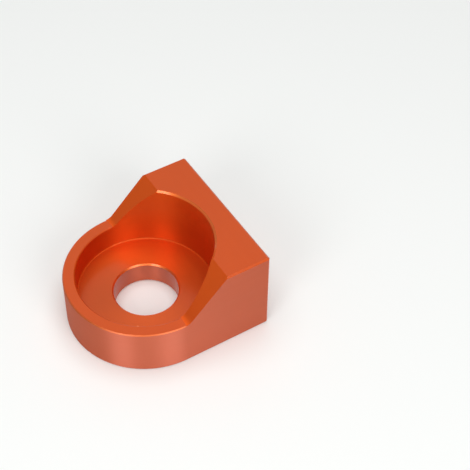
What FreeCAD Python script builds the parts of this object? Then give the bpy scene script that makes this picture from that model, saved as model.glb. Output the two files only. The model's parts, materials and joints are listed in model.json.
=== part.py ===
import FreeCAD, Part
import math
import os
import Sketcher

# Chain adjuster block of a motorcycle's rear axle, milled in one piece from aluminium bar.
# It lies against the swingarm, holds the axle in its bore and the axle nut in its round recess,
# and takes the push of the adjuster bolt on its flat end.
# The Z axis is the axle's axis, +Z points from the swingarm face (z = 0) towards the axle nut,
# and +X points to the flat end. Lengths are in millimetres and angles in degrees.
DIMENSIONS = (
    ("axle_diameter", 20.0, "axle that the block carries"),
    ("axle_clearance", 0.05, "bore over axle, on the diameter"),
    ("block_width", 50.0, "across the sides, which is also the round end's diameter"),
    ("block_height", 29.2, "swingarm face to the land above the flat end"),
    ("rim_height", 16.1, "swingarm face to the top of the round rim"),
    ("floor_thickness", 7.7, "swingarm face to the seat of the axle nut"),
    ("rim_wall", 3.75, "wall between the nut recess and the outside"),
    ("end_wall", 7.5, "wall between the nut recess and the flat end"),
    ("ramp_foot", 1.1, "axle's axis to the line where the ramp would meet the rim's level"),
    ("ramp_angle", 45.0, "slope of the ramp from the rim up to the land"),
    ("ramp_foot_radius", 3.0, "cutter's radius left at the foot of the ramp"),
    ("seat_corner_radius", 0.4, "tool's radius left between the seat and the recess wall"),
    ("bore_chamfer", 0.45, "both ends of the axle bore"),
    ("land_chamfer", 0.55, "edges of the land, the recess's one included, and the flat end's upright corners"),
    ("rim_chamfer", 0.3, "outer and inner edge of the round rim"),
    ("base_chamfer", 0.3, "edge of the swingarm face"),
)

NODE = "axle_block"

doc = FreeCAD.newDocument("ChainAdjusterBlock")
sizes = doc.addObject("Spreadsheet::Sheet", "Sizes")
for row, (alias, number, meaning) in enumerate(DIMENSIONS, start=1):
    sizes.set(f"A{row}", meaning)
    sizes.set(f"B{row}", str(number))
    sizes.setAlias(f"B{row}", alias)
doc.recompute()

# Sizes that follow from the driving dimensions
ROUND_RADIUS = "Sizes.block_width / 2"
RECESS_RADIUS = "(Sizes.block_width / 2 - Sizes.rim_wall)"
FLAT_END = f"({RECESS_RADIUS} + Sizes.end_wall)"
RAMP_RUN = "(Sizes.block_height - Sizes.rim_height) / tan(Sizes.ramp_angle * 1 deg)"
LAND_EDGE = f"(Sizes.ramp_foot + {RAMP_RUN})"
FOOT_START = "(Sizes.ramp_foot - Sizes.ramp_foot_radius * tan(Sizes.ramp_angle * 0.5 deg))"
BORE_RADIUS = "(Sizes.axle_diameter + Sizes.axle_clearance) / 2"

# Positions of a sketch element's points, and of the sketch's own origin
START, END, CENTRE = 1, 2, 3
ORIGIN = (-1, 1)

NEAR = 1e-4


def size_of(expression):
    """The number that an expression over the sheet gives."""
    return float(sizes.evalExpression(expression))


def near(first, second):
    """Whether two lengths are the same but for rounding."""
    return abs(first - second) < NEAR


def new_sketch(name, plane_role):
    """An empty sketch on one of the body's own origin planes."""
    sketch = body.newObject("Sketcher::SketchObject", name)
    plane = next(plane for plane in body.Origin.OriginFeatures if plane.Role == plane_role)
    sketch.AttachmentSupport = [(plane, "")]
    sketch.MapMode = "FlatFace"
    return sketch


def add_line(sketch, first, last):
    """A straight sketch line between two points of the sketch plane."""
    return sketch.addGeometry(Part.LineSegment(FreeCAD.Vector(*first, 0), FreeCAD.Vector(*last, 0)))


def add_arc(sketch, centre, radius, first_angle, last_angle):
    """A sketch arc that runs counterclockwise between two angles in degrees."""
    circle = Part.Circle(FreeCAD.Vector(*centre, 0), FreeCAD.Vector(0, 0, 1), radius)
    return sketch.addGeometry(Part.ArcOfCircle(circle, math.radians(first_angle), math.radians(last_angle)))


def join(sketch, kind, *pairs):
    """Make the end of one element meet the start of the next, as Coincident or Tangent."""
    for first, second in pairs:
        sketch.addConstraint(Sketcher.Constraint(kind, first, END, second, START))


def bind(sketch, name, expression, *constraint):
    """Add a dimension whose value is an expression over the sheet."""
    index = sketch.addConstraint(Sketcher.Constraint(*constraint))
    sketch.renameConstraint(index, name)
    sketch.setExpression(f"Constraints.{name}", expression)


def edges_where(feature, wanted):
    """The names of a feature's edges whose points all pass a test."""
    names = []
    for number, edge in enumerate(feature.Shape.Edges, start=1):
        if all(wanted(point) for point in edge.discretize(7)):
            names.append(f"Edge{number}")
    return names


def dress(kind, name, base, wanted, size_property, size_name):
    """A fillet or chamfer of one sheet size on the edges of a feature that pass a test."""
    feature = body.newObject(f"PartDesign::{kind}", name)
    feature.Base = (base, edges_where(base, wanted))
    feature.setExpression(size_property, f"Sizes.{size_name}")
    doc.recompute()
    return feature


body = doc.addObject("PartDesign::Body", "AxleBlock")
body.Label = NODE
body.Placement = FreeCAD.Placement()

# Outline of the bar stock: a half circle about the axle, two straight sides and the flat end
round_radius = size_of(ROUND_RADIUS)
flat_end = size_of(FLAT_END)
outline = new_sketch("Outline", "XY_Plane")
round_end = add_arc(outline, (0, 0), round_radius, 90, 270)
near_side = add_line(outline, (0, -round_radius), (flat_end, -round_radius))
end_face = add_line(outline, (flat_end, -round_radius), (flat_end, round_radius))
far_side = add_line(outline, (flat_end, round_radius), (0, round_radius))
join(outline, "Tangent", (round_end, near_side), (far_side, round_end))
join(outline, "Coincident", (near_side, end_face), (end_face, far_side))
outline.addConstraint(Sketcher.Constraint("Coincident", round_end, CENTRE, *ORIGIN))
outline.addConstraint(Sketcher.Constraint("Horizontal", near_side))
outline.addConstraint(Sketcher.Constraint("Horizontal", far_side))
outline.addConstraint(Sketcher.Constraint("Vertical", end_face))
bind(outline, "RoundEnd", ROUND_RADIUS, "Radius", round_end, round_radius)
bind(outline, "FlatEnd", FLAT_END, "DistanceX", *ORIGIN, end_face, START, flat_end)

blank = body.newObject("PartDesign::Pad", "Blank")
blank.Profile = outline
blank.setExpression("Length", "Sizes.block_height")
doc.recompute()

block_height = size_of("Sizes.block_height")


def on_land_outline(point):
    """On the blank's upper outline, or on one of the upright corners of its flat end."""
    upright = near(point.x, flat_end) and near(abs(point.y), round_radius)
    return upright or near(point.z, block_height)


def on_base_outline(point):
    """On the outline of the swingarm face."""
    return near(point.z, 0)


# Chamfers of the blank, which the ramp later cuts short on the land
land_edges = dress("Chamfer", "LandEdges", blank, on_land_outline, "Size", "land_chamfer")
base_edges = dress("Chamfer", "BaseEdges", land_edges, on_base_outline, "Size", "base_chamfer")

# Step down to the rim's level, cut straight across from the round end to the start of the ramp's foot
block_width = size_of("Sizes.block_width")
rim_height = size_of("Sizes.rim_height")
foot_start = size_of(FOOT_START)
above = 2 * block_height
step = new_sketch("Step", "XZ_Plane")
rim_line = add_line(step, (-block_width, rim_height), (foot_start, rim_height))
wall_line = add_line(step, (foot_start, rim_height), (foot_start, above))
top_line = add_line(step, (foot_start, above), (-block_width, above))
back_line = add_line(step, (-block_width, above), (-block_width, rim_height))
join(step, "Coincident", (rim_line, wall_line), (wall_line, top_line), (top_line, back_line), (back_line, rim_line))
step.addConstraint(Sketcher.Constraint("Horizontal", rim_line))
step.addConstraint(Sketcher.Constraint("Vertical", wall_line))
step.addConstraint(Sketcher.Constraint("Horizontal", top_line))
step.addConstraint(Sketcher.Constraint("Vertical", back_line))
bind(step, "RimHeight", "Sizes.rim_height", "DistanceY", *ORIGIN, rim_line, START, rim_height)
bind(step, "PastRoundEnd", "Sizes.block_width", "DistanceX", rim_line, START, *ORIGIN, block_width)
bind(step, "ToFoot", f"Sizes.block_width + {FOOT_START}", "DistanceX", rim_line, START, rim_line, END,
     block_width + foot_start)
bind(step, "PastLand", "2 * Sizes.block_height", "DistanceY", *ORIGIN, top_line, START, above)

rim_step = body.newObject("PartDesign::Pocket", "RimStep")
rim_step.Profile = step
rim_step.Type = "ThroughAll"
rim_step.SideType = "Symmetric"
doc.recompute()

# Nut recess, sunk from above to the seat, so that it also cuts a bay into the tall end
recess_radius = size_of(RECESS_RADIUS)
floor_thickness = size_of("Sizes.floor_thickness")
recess_circle = new_sketch("RecessCircle", "XY_Plane")
recess_circle.setExpression("AttachmentOffset.Base.z", "Sizes.floor_thickness")
recess_circle.addGeometry(Part.Circle(FreeCAD.Vector(), FreeCAD.Vector(0, 0, 1), recess_radius))
recess_circle.addConstraint(Sketcher.Constraint("Coincident", 0, CENTRE, *ORIGIN))
bind(recess_circle, "Recess", RECESS_RADIUS, "Radius", 0, recess_radius)

recess = body.newObject("PartDesign::Pocket", "NutRecess")
recess.Profile = recess_circle
recess.Type = "ThroughAll"
recess.Reversed = True
doc.recompute()

# Axle bore, through the floor of the recess
bore_radius = size_of(BORE_RADIUS)
bore_circle = new_sketch("BoreCircle", "XY_Plane")
bore_circle.addGeometry(Part.Circle(FreeCAD.Vector(), FreeCAD.Vector(0, 0, 1), bore_radius))
bore_circle.addConstraint(Sketcher.Constraint("Coincident", 0, CENTRE, *ORIGIN))
bind(bore_circle, "Bore", BORE_RADIUS, "Radius", 0, bore_radius)

bore = body.newObject("PartDesign::Pocket", "AxleBore")
bore.Profile = bore_circle
bore.Type = "ThroughAll"
bore.Reversed = True
doc.recompute()


def on_circle(radius, *levels):
    """A test for points at a radius from the axle's axis, on one of some levels."""
    def wanted(point):
        at_radius = near(math.hypot(point.x, point.y), radius)
        return at_radius and any(near(point.z, level) for level in levels)
    return wanted


def on_rim_edge(point):
    """On the outer edge of the rim, round or straight, or on its inner edge."""
    from_axle = math.hypot(point.x, point.y)
    to_side = from_axle if point.x < 0 else abs(point.y)
    return near(point.z, rim_height) and (near(to_side, round_radius) or near(from_axle, recess_radius))


seat_corner = dress(
    "Fillet", "SeatCorner", bore, on_circle(recess_radius, floor_thickness), "Radius", "seat_corner_radius"
)
bore_ends = dress(
    "Chamfer", "BoreEnds", seat_corner, on_circle(bore_radius, 0, floor_thickness), "Size", "bore_chamfer"
)
rim_edges = dress("Chamfer", "RimEdges", bore_ends, on_rim_edge, "Size", "rim_chamfer")

# Ramp, cut straight across after the edges were chamfered, so that its own edges stay sharp: the cutter's
# radius rises out of the rim's level and runs on into the slope up to the land
land_edge = size_of(LAND_EDGE)
ramp_angle = size_of("Sizes.ramp_angle")
foot_radius = size_of("Sizes.ramp_foot_radius")
slope = math.radians(ramp_angle)
foot_end = (foot_start + foot_radius * math.sin(slope), rim_height + foot_radius * (1 - math.cos(slope)))
incline = new_sketch("Incline", "XZ_Plane")
foot_arc = add_arc(incline, (foot_start, rim_height + foot_radius), foot_radius, -90, ramp_angle - 90)
ramp_line = add_line(incline, foot_end, (land_edge, block_height))
rise_line = add_line(incline, (land_edge, block_height), (land_edge, above))
over_line = add_line(incline, (land_edge, above), (foot_start, above))
drop_line = add_line(incline, (foot_start, above), (foot_start, rim_height))
join(incline, "Tangent", (foot_arc, ramp_line))
join(incline, "Coincident", (ramp_line, rise_line), (rise_line, over_line))
join(incline, "Coincident", (over_line, drop_line), (drop_line, foot_arc))
incline.addConstraint(Sketcher.Constraint("Vertical", foot_arc, START, foot_arc, CENTRE))
incline.addConstraint(Sketcher.Constraint("Vertical", rise_line))
incline.addConstraint(Sketcher.Constraint("Horizontal", over_line))
incline.addConstraint(Sketcher.Constraint("Vertical", drop_line))
bind(incline, "RimHeight", "Sizes.rim_height", "DistanceY", *ORIGIN, foot_arc, START, rim_height)
bind(incline, "FootRadius", "Sizes.ramp_foot_radius", "Radius", foot_arc, foot_radius)
bind(incline, "RampAngle", "Sizes.ramp_angle * 1 deg", "Angle", ramp_line, slope)
bind(incline, "LandEdge", LAND_EDGE, "DistanceX", *ORIGIN, ramp_line, END, land_edge)
bind(incline, "LandHeight", "Sizes.block_height", "DistanceY", *ORIGIN, ramp_line, END, block_height)
bind(incline, "PastLand", "2 * Sizes.block_height", "DistanceY", *ORIGIN, over_line, START, above)

ramp = body.newObject("PartDesign::Pocket", "Ramp")
ramp.Profile = incline
ramp.Type = "ThroughAll"
ramp.SideType = "Symmetric"
doc.recompute()

# Chamfer of the recess on the land, turned about the axle: a triangle whose long side slopes through
# the recess wall one chamfer below the land and through the land one chamfer outside the wall
land_chamfer = size_of("Sizes.land_chamfer")
inside = recess_radius - land_chamfer
bottom = block_height - 2 * land_chamfer
leg = 3 * land_chamfer
cone = new_sketch("MouthCone", "XZ_Plane")
slant = add_line(cone, (inside, bottom), (inside + leg, bottom + leg))
top_leg = add_line(cone, (inside + leg, bottom + leg), (inside, bottom + leg))
inner_leg = add_line(cone, (inside, bottom + leg), (inside, bottom))
join(cone, "Coincident", (slant, top_leg), (top_leg, inner_leg), (inner_leg, slant))
cone.addConstraint(Sketcher.Constraint("Horizontal", top_leg))
cone.addConstraint(Sketcher.Constraint("Vertical", inner_leg))
cone.addConstraint(Sketcher.Constraint("Equal", top_leg, inner_leg))
bind(cone, "Inside", f"{RECESS_RADIUS} - Sizes.land_chamfer", "DistanceX", *ORIGIN, slant, START, inside)
bind(cone, "Bottom", "Sizes.block_height - 2 * Sizes.land_chamfer", "DistanceY", *ORIGIN, slant, START, bottom)
bind(cone, "Leg", "3 * Sizes.land_chamfer", "DistanceY", slant, START, top_leg, END, leg)

land_mouth = body.newObject("PartDesign::Groove", "LandMouth")
land_mouth.Profile = cone
land_mouth.ReferenceAxis = (cone, ["V_Axis"])
body.Tip = land_mouth
doc.recompute()

# Nothing is written unless every step worked and every cut took material away
for item in doc.Objects:
    if {"Invalid", "Error"} & set(item.State):
        raise RuntimeError(f"{item.Label} did not build: {item.State}")
steps = (
    blank, land_edges, base_edges, rim_step, recess, bore, seat_corner, bore_ends, rim_edges, ramp, land_mouth
)
for before, after in zip(steps, steps[1:]):
    print(f"{after.Name}: {before.Shape.Volume:.1f} to {after.Shape.Volume:.1f} mm3")
    cuts = after is not seat_corner
    if cuts != (after.Shape.Volume < before.Shape.Volume):
        raise RuntimeError(f"{after.Name} changed the volume the wrong way")
if body.Shape.isNull() or not body.Shape.isValid() or len(body.Shape.Solids) != 1:
    raise RuntimeError(f"{NODE} is not one valid solid")

os.makedirs("parts", exist_ok=True)
body.Shape.exportStep(f"parts/{NODE}.step")
print(f"{NODE}: {len(body.Shape.Faces)} faces, {body.Shape.Volume / 1000:.2f} cm3")
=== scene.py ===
import json
import math

import bpy
import numpy as np
from mathutils import Matrix, Vector


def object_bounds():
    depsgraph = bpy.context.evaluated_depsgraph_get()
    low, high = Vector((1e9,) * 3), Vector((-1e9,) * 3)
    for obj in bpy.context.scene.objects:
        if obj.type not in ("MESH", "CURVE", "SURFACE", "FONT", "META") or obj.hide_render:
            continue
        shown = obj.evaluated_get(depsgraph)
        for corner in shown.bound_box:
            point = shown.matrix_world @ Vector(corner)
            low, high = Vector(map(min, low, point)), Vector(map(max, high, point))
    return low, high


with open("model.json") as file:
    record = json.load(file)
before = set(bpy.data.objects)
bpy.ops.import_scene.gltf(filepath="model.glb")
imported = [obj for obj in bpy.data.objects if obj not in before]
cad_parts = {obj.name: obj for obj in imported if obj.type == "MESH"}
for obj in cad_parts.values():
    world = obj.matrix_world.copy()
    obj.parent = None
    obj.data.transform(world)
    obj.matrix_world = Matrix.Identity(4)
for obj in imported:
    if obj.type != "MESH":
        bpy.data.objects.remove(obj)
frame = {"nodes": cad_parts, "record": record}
cad_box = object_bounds()

# Axle block
# One piece cut from aluminium bar, etched to a satin grain, dyed orange and sealed by anodising.
# Each way of cutting leaves its own lay of fine lines, which shows through the clear oxide skin.
# The chamfers are cut last with a sharp tool; a paler dye paints a highlight on them.
block = frame["nodes"]["axle_block"]


def put(tree, kind, sockets=(), **settings):
    """A new node; each named input is linked where its value is a socket, and set where it isn't."""
    made = tree.nodes.new(kind)
    for name, value in settings.items():
        setattr(made, name, value)
    for name, value in dict(sockets).items():
        if isinstance(value, bpy.types.NodeSocket):
            tree.links.new(value, made.inputs[name])
        else:
            made.inputs[name].default_value = value
    return made


def math_of(tree, operation, *values):
    """The result of one Math node on sockets and numbers."""
    made = put(tree, "ShaderNodeMath", dict(enumerate(values)), operation=operation)
    return made.outputs["Value"]


def spread(tree, value, low, high):
    """A value from 0 to 1 stretched to run from low to high."""
    made = put(tree, "ShaderNodeMapRange", {"Value": value, "To Min": low, "To Max": high})
    return made.outputs["Result"]


def mix_of(tree, factor, first, second):
    """A colour between two, each of them a socket or a colour."""
    mixed = put(tree, "ShaderNodeMix", data_type="RGBA")
    sockets = {socket.name: socket for socket in mixed.inputs if socket.enabled}
    tree.links.new(factor, sockets["Factor"])
    for name, value in (("A", first), ("B", second)):
        if isinstance(value, bpy.types.NodeSocket):
            tree.links.new(value, sockets[name])
        else:
            sockets[name].default_value = value
    return next(socket for socket in mixed.outputs if socket.enabled)


def empty_material(name):
    """A material with no nodes in it yet."""
    material = bpy.data.materials.new(name)
    material.use_nodes = True
    material.node_tree.nodes.clear()
    return material


def new_group(name, inputs, outputs):
    """A shader node group with the named sockets, with its input and output nodes."""
    group = bpy.data.node_groups.new(name, "ShaderNodeTree")
    for label, kind in inputs.items():
        group.interface.new_socket(label, in_out="INPUT", socket_type=kind)
    for label in outputs:
        group.interface.new_socket(label, in_out="OUTPUT", socket_type="NodeSocketFloat")
    return group, put(group, "NodeGroupInput"), put(group, "NodeGroupOutput")


# Grain of the etched surface, with sizes and depth in metres
GRAIN_SIZE = 0.00016
GRAIN_DEPTH = 1.2e-6
GRAIN_DETAIL = 2.0
GRAIN_SHARE = 0.35
CLOUD_SIZE = 0.009
CLOUD_DETAIL = 4.0


def satin_grain():
    """Etched grain: noise one grain wide for the height, and the grain's share of how the dye took.

    The rest of the dye's share is noise in wide soft clouds.
    """
    group, given, result = new_group("satin_grain", {
        "Place": "NodeSocketVector",
        "Grain Size": "NodeSocketFloat",
        "Cloud Size": "NodeSocketFloat",
    }, ["Height", "Dye"])
    grain = put(group, "ShaderNodeTexNoise", {
        "Vector": given.outputs["Place"],
        "Scale": math_of(group, "DIVIDE", 1.0, given.outputs["Grain Size"]),
        "Detail": GRAIN_DETAIL,
    })
    cloud = put(group, "ShaderNodeTexNoise", {
        "Vector": given.outputs["Place"],
        "Scale": math_of(group, "DIVIDE", 1.0, given.outputs["Cloud Size"]),
        "Detail": CLOUD_DETAIL,
    })
    clouded = math_of(group, "MULTIPLY", cloud.outputs["Fac"], 1 - GRAIN_SHARE)
    uneven = math_of(group, "MULTIPLY_ADD", grain.outputs["Fac"], GRAIN_SHARE, clouded)
    group.links.new(grain.outputs["Fac"], result.inputs["Height"])
    group.links.new(uneven, result.inputs["Dye"])
    return group


# Lines of the cutters, with pitch and depth in metres and bands in lines
LINE_PITCH = 0.00022
LINE_DEPTH = 1.6e-6
LINE_DETAIL = 2.0
BANDS_PER_LINE = 0.07
BAND_DETAIL = 3.0


def cutter_lines():
    """Lines left by a cutting edge: noise that changes only across them, so each has its own depth.

    Slower noise of the same kind makes bands of lines that are glossier or duller.
    """
    group, given, result = new_group("cutter_lines", {
        "Across": "NodeSocketFloat",
        "Pitch": "NodeSocketFloat",
    }, ["Height", "Gloss"])
    lines = math_of(group, "DIVIDE", given.outputs["Across"], given.outputs["Pitch"])
    fine = put(group, "ShaderNodeTexNoise", {
        "W": lines,
        "Scale": 1.0,
        "Detail": LINE_DETAIL,
    }, noise_dimensions="1D")
    bands = put(group, "ShaderNodeTexNoise", {
        "W": lines,
        "Scale": BANDS_PER_LINE,
        "Detail": BAND_DETAIL,
    }, noise_dimensions="1D")
    group.links.new(fine.outputs["Fac"], result.inputs["Height"])
    group.links.new(bands.outputs["Fac"], result.inputs["Gloss"])
    return group


grain_group = satin_grain()
line_group = cutter_lines()

# Dye and skin, a paler dye that paints a highlight on the chamfers, and a small pale nick in the
# seat
FULL_DYE = (1.0, 0.147, 0.0185)
# A paler dye for the chamfers, whose lighter colour is a painted highlight
PALE_HIGHLIGHT_DYE = (1.0, 0.20, 0.0390)
DYE_SPREAD = 0.05
ROUGHNESS_SPREAD = 0.05
SKIN_IOR = 1.5
SKIN_ROUGHNESS = 0.2
SKIN_SPREAD = 0.06
QUARTER_TURN = 0.25
NICK_PLACE = (-0.0093, -0.0116, 0.0)
NICK_RADIUS = 0.0005
NICK_COLOUR = (1.0, 0.27, 0.08, 1.0)


def shade_of(colour, factor):
    """A colour made lighter or darker, with its alpha."""
    return (*(part * factor for part in colour), 1.0)


def orange_anodising(name, lay, tone, metal, roughness, skin, skin_roughness=SKIN_ROUGHNESS,
                     dye=FULL_DYE, line_gloss=0.0, stretch=0.0, nick=False):
    """Dyed metal under a clear oxide skin, with grain and cutter lines.

    The lay says what the lines run across: x on milled flats, z on upright walls, and radius plus
    z on turned faces, which gives rings on a flat seat and on an upright wall alike. Tone is how
    light the colour is, and on the ramp, the bore and the chamfers it also paints light or shade.
    Metal is the share of light that the metal mirrors, and the rest scatters in the dye. Skin is
    the clear layer's weight, line_gloss is the white sheen of the lines themselves, and stretch
    draws highlights out across them.
    """
    material = empty_material(name)
    tree = material.node_tree
    place = put(tree, "ShaderNodeTexCoord").outputs["Object"]
    axes = put(tree, "ShaderNodeSeparateXYZ", {"Vector": place}).outputs
    flat = put(tree, "ShaderNodeCombineXYZ", {"X": axes["X"], "Y": axes["Y"]}).outputs["Vector"]
    radius = put(tree, "ShaderNodeVectorMath", {0: flat}, operation="LENGTH").outputs["Value"]
    rings = math_of(tree, "ADD", radius, axes["Z"])
    across = {"x": axes["X"], "z": axes["Z"], "radius": rings}[lay]
    grain = put(tree, "ShaderNodeGroup", node_tree=grain_group)
    tree.links.new(place, grain.inputs["Place"])
    grain.inputs["Grain Size"].default_value = GRAIN_SIZE
    grain.inputs["Cloud Size"].default_value = CLOUD_SIZE
    lines = put(tree, "ShaderNodeGroup", node_tree=line_group)
    tree.links.new(across, lines.inputs["Across"])
    lines.inputs["Pitch"].default_value = LINE_PITCH

    thick = shade_of(dye, tone * (1 - DYE_SPREAD))
    thin = shade_of(dye, tone * (1 + DYE_SPREAD))
    colour = mix_of(tree, grain.outputs["Dye"], thick, thin)
    if nick:
        aside = put(tree, "ShaderNodeVectorMath", {0: flat, 1: NICK_PLACE}, operation="DISTANCE")
        pale = put(tree, "ShaderNodeMapRange", {
            "Value": aside.outputs["Value"],
            "From Min": NICK_RADIUS,
            "From Max": 0.0,
        })
        colour = mix_of(tree, pale.outputs["Result"], colour, NICK_COLOUR)
    grained = put(tree, "ShaderNodeBump", {
        "Height": grain.outputs["Height"],
        "Distance": GRAIN_DEPTH,
    })
    cut = put(tree, "ShaderNodeBump", {
        "Height": lines.outputs["Height"],
        "Distance": LINE_DEPTH,
        "Normal": grained.outputs["Normal"],
    })
    skin_weight = spread(tree, grain.outputs["Dye"], skin + SKIN_SPREAD, skin - SKIN_SPREAD)
    smoothest, roughest = roughness - ROUGHNESS_SPREAD, roughness + ROUGHNESS_SPREAD
    uneven_roughness = spread(tree, lines.outputs["Gloss"], smoothest, roughest)
    shader = put(tree, "ShaderNodeBsdfPrincipled", {
        "Base Color": colour,
        "Metallic": metal,
        "Roughness": uneven_roughness,
        "Specular IOR Level": line_gloss,
        "Coat Weight": skin_weight,
        "Coat Roughness": skin_roughness,
        "Coat IOR": SKIN_IOR,
        "Normal": cut.outputs["Normal"],
    })
    if stretch:
        minus_y = math_of(tree, "MULTIPLY", axes["Y"], -1.0)
        round_axle = put(tree, "ShaderNodeCombineXYZ", {"X": minus_y, "Y": axes["X"]})
        tree.links.new(round_axle.outputs["Vector"], shader.inputs["Tangent"])
        shader.inputs["Anisotropic"].default_value = stretch
        shader.inputs["Anisotropic Rotation"].default_value = QUARTER_TURN
    put(tree, "ShaderNodeOutputMaterial", {"Surface": shader.outputs["BSDF"]})
    return material


def numbers_of(collection, name, width):
    """One property of every item of a mesh, as an array with a row for each."""
    numbers = np.empty(len(collection) * width)
    collection.foreach_get(name, numbers)
    return numbers.reshape(-1, width)


# Each face's finish comes from where it lies and which way it looks
# Tilts, leans and turns are parts of a unit normal, and the reach is a share of the bore's radius
# The other limits are lengths in metres
UPRIGHT_TILT = 0.1
LEVEL_TILT = 0.98
RAMP_LEAN = 0.1
RAMP_TURN = 0.01
RAMP_START = -0.001
CORNER_TURN = 0.3
SEAT_CORNER_RISE = 0.0005
SEAT_TOLERANCE = 0.00001
BORE_REACH = 1.1
MOUTH_DEPTH = 0.001
MM_PER_M = 1000

mounts = {mount["name"]: mount for mount in frame["record"]["mounts"]}
seat_z = mounts["nut_seat"]["pos_m"][2]
bore_radius = mounts["axle_bore"]["dims"]["r_mm"] / MM_PER_M
faces = block.data.polygons
x, y, z = numbers_of(faces, "center", 3).T
to_x, to_y, to_z = numbers_of(faces, "normal", 3).T
tilt = np.abs(to_z)
looks_in = to_x * x + to_y * y < 0
is_by_bore = np.hypot(x, y) < bore_radius * BORE_REACH
is_upright = tilt < UPRIGHT_TILT
is_turned_out = (np.abs(to_x) > CORNER_TURN) & (np.abs(to_y) > CORNER_TURN)
is_square_on = (to_x < -RAMP_LEAN) & (np.abs(to_y) < RAMP_TURN)
is_ramp = is_square_on & (x > RAMP_START) & ~is_upright
is_corner = is_upright & ~looks_in & (x > 0) & is_turned_out
is_seat_corner = looks_in & (z > seat_z) & (z < seat_z + SEAT_CORNER_RISE)
is_chamfer = (tilt > UPRIGHT_TILT) & (tilt < LEVEL_TILT) & ~is_ramp & ~is_seat_corner
is_bore = looks_in & is_upright & is_by_bore
is_wall = looks_in & is_upright & ~is_bore
is_seat = np.abs(z - seat_z) < SEAT_TOLERANCE
is_mouth = is_chamfer & looks_in & (z > cad_box[1].z - MOUTH_DEPTH)
is_bore_edge = is_chamfer & looks_in & is_by_bore
is_rim_edge = is_chamfer & ~looks_in & (x < 0) & (to_z > 0)
is_outside = is_upright & ~looks_in & ~is_corner

# The first finish covers every face, and each later one takes over the faces that it names
finishes = [
    (np.full(len(faces), True), orange_anodising(
        "milled_orange", "x", tone=0.71, metal=0.65, roughness=0.64, skin=0.88)),
    # The ramp's lighter tone is painted light, making up for the light that this slope faces away
    # from
    (is_ramp, orange_anodising(
        "ramp_orange_painted_light", "x", tone=0.82, metal=0.75, roughness=0.57, skin=0.18)),
    (is_seat, orange_anodising(
        "faced_orange", "radius", tone=0.77, metal=0.75, roughness=0.38, skin=0.9,
        stretch=0.35, nick=True)),
    (is_wall, orange_anodising(
        "bored_orange", "radius", tone=0.77, metal=1.0, roughness=0.50, skin=0.06,
        stretch=0.77)),
    (is_seat_corner, orange_anodising(
        "corner_orange", "radius", tone=0.74, metal=0.9, roughness=0.60, skin=0.15)),
    (is_outside, orange_anodising(
        "contoured_orange", "z", tone=0.67, metal=0.45, roughness=0.56, skin=0.06,
        line_gloss=2.3, stretch=1.0)),
    # The bore's darker tone is painted shade inside the hole
    (is_bore, orange_anodising(
        "reamed_orange_painted_shade", "z", tone=0.60, metal=0.45, roughness=0.45, skin=0.75,
        line_gloss=0.8, stretch=1.0)),
    # The three chamfer finishes take the paler dye, and the mouth and bore edge a lighter tone, as a
    # painted highlight
    (is_mouth, orange_anodising(
        "mouth_orange_painted_highlight", "radius", tone=0.88, metal=0.55, roughness=0.28, skin=0.7,
        skin_roughness=0.1, dye=PALE_HIGHLIGHT_DYE)),
    (is_bore_edge, orange_anodising(
        "bore_edge_painted_highlight", "radius", tone=0.87, metal=0.9, roughness=0.40, skin=0.7,
        skin_roughness=0.15, dye=PALE_HIGHLIGHT_DYE)),
    (is_rim_edge, orange_anodising(
        "rim_edge_painted_highlight", "radius", tone=0.74, metal=0.8, roughness=0.45, skin=0.7,
        skin_roughness=0.3, dye=PALE_HIGHLIGHT_DYE)),
]
slot = np.zeros(len(faces), np.int32)
block.data.materials.clear()
for number, (chosen, material) in enumerate(finishes):
    block.data.materials.append(material)
    slot[chosen] = number
faces.foreach_set("material_index", slot)

# Floor
# A plain sheet of white card just under the block, which keeps its soft shadow.
# It is clear from below, and clear to a ray that has only just left the underside,
# so that this side can be looked at too.
FLOOR_GAP = 0.00005
CLEAR_REACH = 0.0005
FLOOR_HALF = 3.0
FLOOR_COLOUR = (0.925, 0.94, 0.925, 1.0)
FLOOR_CORNERS = [(-1, -1), (1, -1), (1, 1), (-1, 1)]


def white_card():
    """Matt white that is clear when seen from below or from very near."""
    material = empty_material("white_card")
    tree = material.node_tree
    card = put(tree, "ShaderNodeBsdfDiffuse", {"Color": FLOOR_COLOUR})
    clear = put(tree, "ShaderNodeBsdfTransparent")
    side = put(tree, "ShaderNodeNewGeometry")
    path = put(tree, "ShaderNodeLightPath")
    is_near = math_of(tree, "LESS_THAN", path.outputs["Ray Length"], CLEAR_REACH)
    mixed = put(tree, "ShaderNodeMixShader", {
        0: math_of(tree, "MAXIMUM", side.outputs["Backfacing"], is_near),
        1: card.outputs["BSDF"],
        2: clear.outputs["BSDF"],
    })
    put(tree, "ShaderNodeOutputMaterial", {"Surface": mixed.outputs["Shader"]})
    return material


floor_z = cad_box[0].z - FLOOR_GAP
floor_points = [(right * FLOOR_HALF, back * FLOOR_HALF, floor_z) for right, back in FLOOR_CORNERS]
floor_mesh = bpy.data.meshes.new("floor")
floor_mesh.from_pydata(floor_points, [], [(0, 1, 2, 3)])
floor_mesh.materials.append(white_card())
floor = bpy.data.objects.new("floor", floor_mesh)
bpy.context.scene.collection.objects.link(floor)

# Light
# A wide soft box overhead, a bright box each side of the camera and a small one behind it,
# a dim card behind the block, and a grey room all round. Radiance is how bright a lamp looks
# in a mirror; all together light a level white sheet to just about white.
ROOM = 0.24
ROOM_COLOUR = (1, 1, 1, 1)
SOFT_BOXES = {
    "overhead": {"azimuth": 0, "elevation": 90, "distance": 1.0, "size": 1.0, "radiance": 2.36},
    "left_box": {"azimuth": 210, "elevation": 34, "distance": 0.9, "size": 0.42, "radiance": 4.2},
    "right_box": {"azimuth": 272, "elevation": 33, "distance": 0.9, "size": 0.5, "radiance": 3.45},
    "front_box": {"azimuth": 243, "elevation": 52, "distance": 0.9, "size": 0.3, "radiance": 2.0},
    "back_card": {"azimuth": 58, "elevation": 45, "distance": 0.9, "size": 0.6, "radiance": 0.24},
}


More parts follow.
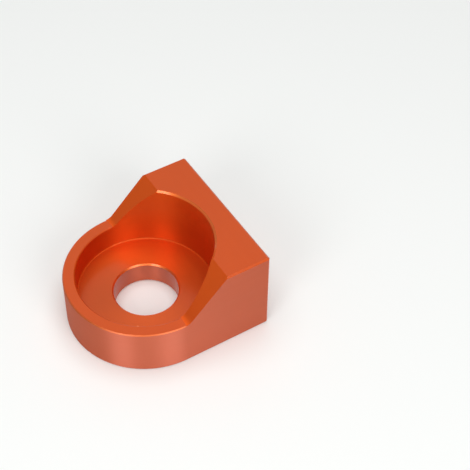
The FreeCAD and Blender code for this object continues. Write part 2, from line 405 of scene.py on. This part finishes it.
def toward(azimuth, elevation):
    """The unit vector at an azimuth from +X towards +Y and an elevation, both in degrees."""
    turn, rise = math.radians(azimuth), math.radians(elevation)
    flat = math.cos(rise)
    return Vector((math.cos(turn) * flat, math.sin(turn) * flat, math.sin(rise)))


def soft_box(name, azimuth, elevation, distance, size, radiance):
    """A disk lamp that faces the block; its power is pi times its area times its radiance."""
    way = toward(azimuth, elevation)
    lamp = bpy.data.lights.new(name, "AREA")
    lamp.shape = "DISK"
    lamp.size = size
    lamp.energy = radiance * math.pi ** 2 * (size / 2) ** 2
    box = bpy.data.objects.new(name, lamp)
    box.location = way * distance
    box.rotation_euler = way.to_track_quat("Z", "Y").to_euler()
    bpy.context.scene.collection.objects.link(box)


for name, values in SOFT_BOXES.items():
    soft_box(name, **values)

world = bpy.data.worlds.new("studio")
world.use_nodes = True
world.node_tree.nodes.clear()
room = put(world.node_tree, "ShaderNodeBackground", {"Color": ROOM_COLOUR, "Strength": ROOM})
put(world.node_tree, "ShaderNodeOutputWorld", {"Surface": room.outputs["Background"]})
bpy.context.scene.world = world

# Camera
# A long lens that looks down on the round end and the near side of the block.
# Its place and lens were fitted to the block's edges in the photograph, so both frames line up.
# Lengths are in metres, angles in degrees, and the lens and its sensor in millimetres.
AIM = Vector((0.03169, -0.00069, 0.015))
AZIMUTH = -122.35
ELEVATION = 47.25
ROLL = 0.77
DISTANCE = 0.3904
LENS = 95.68
SENSOR_WIDTH = 36.0

camera = bpy.data.cameras.new("camera")
camera.lens = LENS
camera.sensor_width = SENSOR_WIDTH
camera_object = bpy.data.objects.new("camera", camera)
to_camera = toward(AZIMUTH, ELEVATION)
level = to_camera.to_track_quat("Z", "Y").to_matrix().to_4x4()
rolled = level @ Matrix.Rotation(math.radians(ROLL), 4, "Z")
camera_object.matrix_world = Matrix.Translation(AIM + to_camera * DISTANCE) @ rolled
bpy.context.scene.collection.objects.link(camera_object)
bpy.context.scene.camera = camera_object

bpy.context.scene.view_settings.view_transform = "Standard"
